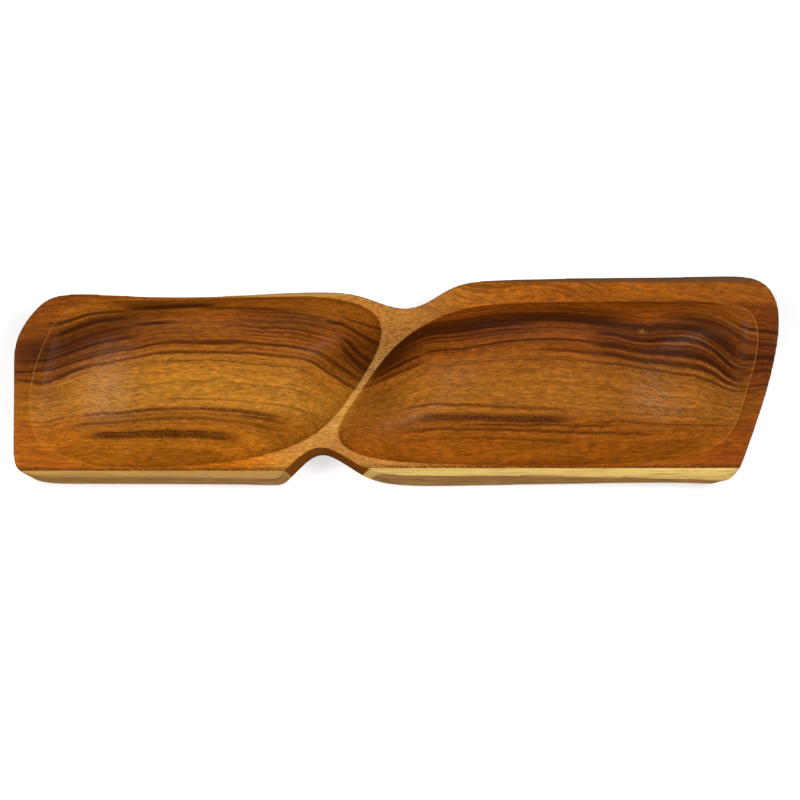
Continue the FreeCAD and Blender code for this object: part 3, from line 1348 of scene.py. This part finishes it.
@dataclass(frozen=True)
class ParedFlat:
    """One flat pared off an edge: the line along which it leaves the rim, and its fall."""

    start: tuple[float, float, float]
    end: tuple[float, float, float]
    slope: float


@dataclass
class CarvedDish:
    """The dish itself: the solid's own shape with its pared and sanded edges.

    The shelf says how deep a point near an end of a hollow lies, by how deep the solid is there.
    """

    node: str = "dish"
    slot: str = "wood"
    weld: float = 0.00001
    voxel: float = 0.0009
    sanding: int = 2
    scooping: int = 110
    softness: float = 0.5
    scooped_below: float = 0.0345
    scooped_facing: float = 0.3
    end_from: float = 0.170
    end_scooped_below: float = 0.0370
    kept: float = 0.44
    rim_height: float = 0.038
    rim_skin: float = 0.00002
    chip_size: float = 0.04
    dry_before: float = -0.036
    dry_facing: float = -0.2
    dry_upright: float = 0.45
    eased_left: float = 0.125
    eased_right: float = 0.120
    easing: float = 0.085
    eased_facing: float = 0.6
    shelf: Places = (
        (0, 0),
        (0.0004, 0.00025),
        (0.0022, 0.0005),
        (0.0038, 0.0018),
        (0.0056, 0.0040),
        (0.0076, 0.0065),
        (0.0100, 0.0093),
        (0.0130, 0.0130),
    )
    pared: tuple[ParedFlat, ...] = (
        ParedFlat((-0.150, 0.0489, 0.038), (-0.012, 0.0509, 0.038), 45),
        ParedFlat((0.03, 0.0584, 0.038), (0.22, 0.0601, 0.038), 22),
        ParedFlat((0.03, 0.0596, 0.0375), (0.22, 0.0612, 0.0375), 48),
    )

    def rough_copy(self) -> bpy.types.Object:
        """A copy of the solid as one closed mesh.

        Returns:
            The copy, with its doubled corners merged.
        """
        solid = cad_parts[self.node]
        piece = bpy.data.objects.new("carved_dish", solid.data.copy())
        bpy.context.scene.collection.objects.link(piece)
        piece.matrix_world = solid.matrix_world.copy()
        piece.data.materials.clear()
        only(piece)
        bpy.ops.object.mode_set(mode="EDIT")
        bpy.ops.mesh.select_all(action="SELECT")
        bpy.ops.mesh.remove_doubles(threshold=self.weld)
        bpy.ops.object.mode_set(mode="OBJECT")
        return piece

    def pare(self, piece: bpy.types.Object, flat: ParedFlat) -> None:
        """Pare one flat off an edge with a straight cut.

        Args:
            piece: the dish.
            flat: where the flat lies; its slope is in degrees.
        """
        along = Vector(flat.end) - Vector(flat.start)
        bpy.ops.mesh.primitive_cube_add(size=1)
        chip = bpy.context.object
        chip.name = "chip"
        chip.scale = (along.length, self.chip_size, self.chip_size)
        chip.rotation_euler = (math.radians(-flat.slope), 0, math.atan2(along.y, along.x))
        bpy.context.view_layer.update()
        upward = chip.rotation_euler.to_matrix() @ Vector((0, 0, self.chip_size / 2))
        chip.location = (Vector(flat.start) + Vector(flat.end)) / 2 + upward
        only(piece)
        cut = piece.modifiers.new("pared_flat", "BOOLEAN")
        cut.operation = "DIFFERENCE"
        cut.solver = "EXACT"
        cut.object = chip
        bpy.ops.object.modifier_apply(modifier=cut.name)
        only(chip)
        bpy.ops.object.delete()
        only(piece)

    def ease_ends(self, piece: bpy.types.Object) -> None:
        """Start the end walls of the hollows with a thin lip and a nearly level shelf.

        Args:
            piece: the dish.
        """
        mesh = piece.data
        places = np.empty(len(mesh.vertices) * 3)
        facing = np.empty(len(mesh.vertices) * 3)
        mesh.vertices.foreach_get("co", places)
        mesh.vertices.foreach_get("normal", facing)
        places = places.reshape(-1, 3)
        upward = facing.reshape(-1, 3)[:, 2]
        depth = self.rim_height - places[:, 2]
        x = places[:, 0]
        near_end = np.clip((-x - self.eased_left) / self.easing, 0, 1)
        near_end += np.clip((x - self.eased_right) / self.easing, 0, 1)
        near_end *= near_end * (3 - 2 * near_end)
        near_end *= (upward > self.eased_facing) * (depth > self.rim_skin)
        carved, eased_to = zip(*self.shelf)
        eased = np.where(depth < carved[-1], np.interp(depth, carved, eased_to), depth)
        places[:, 2] = self.rim_height - (depth + (eased - depth) * near_end)
        mesh.vertices.foreach_set("co", places.ravel())
        mesh.update()

    def scoop(self, piece: bpy.types.Object) -> None:
        """Soften the turns inside the hollows, as a round-nosed gouge and sanding leave them.

        Args:
            piece: the dish.
        """
        inside = piece.vertex_groups.new(name="inside")
        chosen = []
        for corner in piece.data.vertices:
            at_end = abs(corner.co.x) > self.end_from
            below = self.end_scooped_below if at_end else self.scooped_below
            if corner.normal.z > self.scooped_facing and corner.co.z < below:
                chosen.append(corner.index)
        inside.add(chosen, 1, "REPLACE")
        soften = piece.modifiers.new("scooped", "SMOOTH")
        soften.factor = self.softness
        soften.iterations = self.scooping
        soften.vertex_group = inside.name
        bpy.ops.object.modifier_apply(modifier=soften.name)
        piece.vertex_groups.clear()

    def sand(self, piece: bpy.types.Object) -> None:
        """Round every edge a little, as sanding does, on an even mesh.

        Args:
            piece: the dish.
        """
        only(piece)
        remesh = piece.modifiers.new("even", "REMESH")
        remesh.mode = "VOXEL"
        remesh.voxel_size = self.voxel
        remesh.use_smooth_shade = True
        bpy.ops.object.modifier_apply(modifier=remesh.name)
        smooth = piece.modifiers.new("sanded", "SMOOTH")
        smooth.factor = self.softness
        smooth.iterations = self.sanding
        bpy.ops.object.modifier_apply(modifier=smooth.name)
        log.info("even mesh: %d faces", len(piece.data.polygons))
        self.ease_ends(piece)
        self.scoop(piece)
        thin = piece.modifiers.new("thinned", "DECIMATE")
        thin.ratio = self.kept
        bpy.ops.object.modifier_apply(modifier=thin.name)
        bpy.ops.object.shade_smooth()

    def leave_dry(self, piece: bpy.types.Object) -> None:
        """Give the steep natural faces along the front the second material.

        Args:
            piece: the dish.
        """
        for face in piece.data.polygons:
            turned = face.normal.y < self.dry_facing
            steep = abs(face.normal.z) < self.dry_upright
            if turned and steep and face.center.y < self.dry_before:
                face.material_index = 1

    def build(self, oiled: bpy.types.Material, dry: bpy.types.Material) -> bpy.types.Object:
        """Make the dish and dress it.

        Args:
            oiled: the material of the worked faces.
            dry: the material of the natural ones.

        Returns:
            The finished piece.
        """
        piece = self.rough_copy()
        for flat in self.pared:
            self.pare(piece, flat)
        self.sand(piece)
        piece.data.materials.append(oiled)
        piece.data.materials.append(dry)
        self.leave_dry(piece)
        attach(piece, "root")
        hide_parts(self.node)
        log.info("%s: %d faces", piece.name, len(piece.data.polygons))
        return piece


# The studio


@dataclass(frozen=True)
class SoftBox:
    """One square soft light: where it hangs, how wide it is and how strong, in watts."""

    name: str
    place: tuple[float, float, float]
    size: float
    power: float

    def hang(self) -> None:
        """Hang it so that it looks at the dish."""
        data = bpy.data.lights.new(self.name, "AREA")
        data.size = self.size
        data.energy = self.power
        lamp = bpy.data.objects.new(self.name, data)
        bpy.context.scene.collection.objects.link(lamp)
        lamp.location = self.place
        lamp.rotation_euler = (-Vector(self.place)).to_track_quat("-Z", "Y").to_euler()


@dataclass
class Studio:
    """The pale floor, the soft boxes and the camera high above the front edge."""

    elevation: float = 83.0
    distance: float = 3.0
    frame_width: float = 0.48
    sensor: float = 0.036
    view_depth: float = 100.0
    aim: tuple[float, float, float] = (0.0021, -0.01365, 0.038)
    floor_size: float = 12.0
    floor_grey: float = 0.70
    floor_roughness: float = 0.9
    floor_lift: float = 0.52
    sky: float = 0.34
    boxes: tuple[SoftBox, ...] = (
        SoftBox("left_box", (-0.8, 0.1, 1.65), 0.5, 16),
        SoftBox("right_box", (0.8, 0.1, 1.65), 0.5, 16),
        SoftBox("front_box", (0, -1.6, 1.3), 1.4, 16),
    )

    def camera(self) -> None:
        """A long lens, so that the sides of the dish stay nearly parallel."""
        tilt = math.radians(self.elevation)
        back = Vector((0, -math.cos(tilt), math.sin(tilt)))
        data = bpy.data.cameras.new("camera")
        data.sensor_width = self.sensor * MILLIMETRES
        data.lens = self.sensor * MILLIMETRES * self.distance / self.frame_width
        data.clip_end = self.view_depth
        camera = bpy.data.objects.new("camera", data)
        bpy.context.scene.collection.objects.link(camera)
        camera.location = Vector(self.aim) + back * self.distance
        camera.rotation_euler = (-back).to_track_quat("-Z", "Y").to_euler()
        bpy.context.scene.camera = camera

    def seen_by(self, bench: Bench, *rays: Ray) -> bpy.types.NodeSocket:
        """A mask that is 1 for some kinds of ray.

        Args:
            bench: where the nodes go.
            rays: the kinds.

        Returns:
            The socket that holds the mask.
        """
        path = bench.add("LightPath")
        mask: object = 0.0
        for ray in rays:
            mask = bench.math("MAXIMUM", mask, path.outputs[ray.value])
        return mask

    def floor(self) -> None:
        """A wide pale floor that keeps the dish's soft shadow."""
        bpy.ops.object.select_all(action="DESELECT")
        bpy.ops.mesh.primitive_plane_add(size=self.floor_size)
        floor = bpy.context.object
        floor.name = "floor"
        material = bpy.data.materials.new("pale_floor")
        material.use_nodes = True
        bench = Bench(material.node_tree)
        shader = material.node_tree.nodes["Principled BSDF"]
        shader.inputs["Base Color"].default_value = (self.floor_grey,) * 3 + (1,)
        shader.inputs["Roughness"].default_value = self.floor_roughness
        shader.inputs["Specular IOR Level"].default_value = 0.0
        seen = self.seen_by(bench, Ray.CAMERA, Ray.GLOSSY)
        bench.feed(shader.inputs["Emission Strength"], bench.math("MULTIPLY", seen, self.floor_lift))
        shader.inputs["Emission Color"].default_value = (*UNTINTED, 1)
        floor.data.materials.append(material)

    def sky_light(self) -> None:
        """Even white light from all round, and a white background behind all."""
        world = bpy.data.worlds.new("studio")
        bpy.context.scene.world = world
        world.use_nodes = True
        bench = Bench(world.node_tree)
        ground = world.node_tree.nodes["Background"]
        seen = self.seen_by(bench, Ray.CAMERA, Ray.TRANSMISSION)
        bench.feed(ground.inputs["Strength"], bench.math("MULTIPLY_ADD", seen, 1 - self.sky, self.sky))

    def build(self) -> None:
        """Set the whole stage."""
        self.camera()
        self.floor()
        self.sky_light()
        for box in self.boxes:
            box.hang()
        bpy.context.scene.view_settings.view_transform = "Standard"
        log.info("studio set")


def main() -> None:
    """Build the dish and its studio."""
    logging.basicConfig(level=logging.INFO, format="%(message)s")
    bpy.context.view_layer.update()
    bpy.ops.object.select_all(action="DESELECT")
    Studio().build()
    wood = DishWood()
    look = wood.wood_group()
    CarvedDish().build(
        wood.material(look, Finish("oiled_hardwood", gloss=0.05)),
        wood.material(look, Finish("natural_hardwood", gloss=0.0)),
    )


if __name__ == "__main__":
    main()
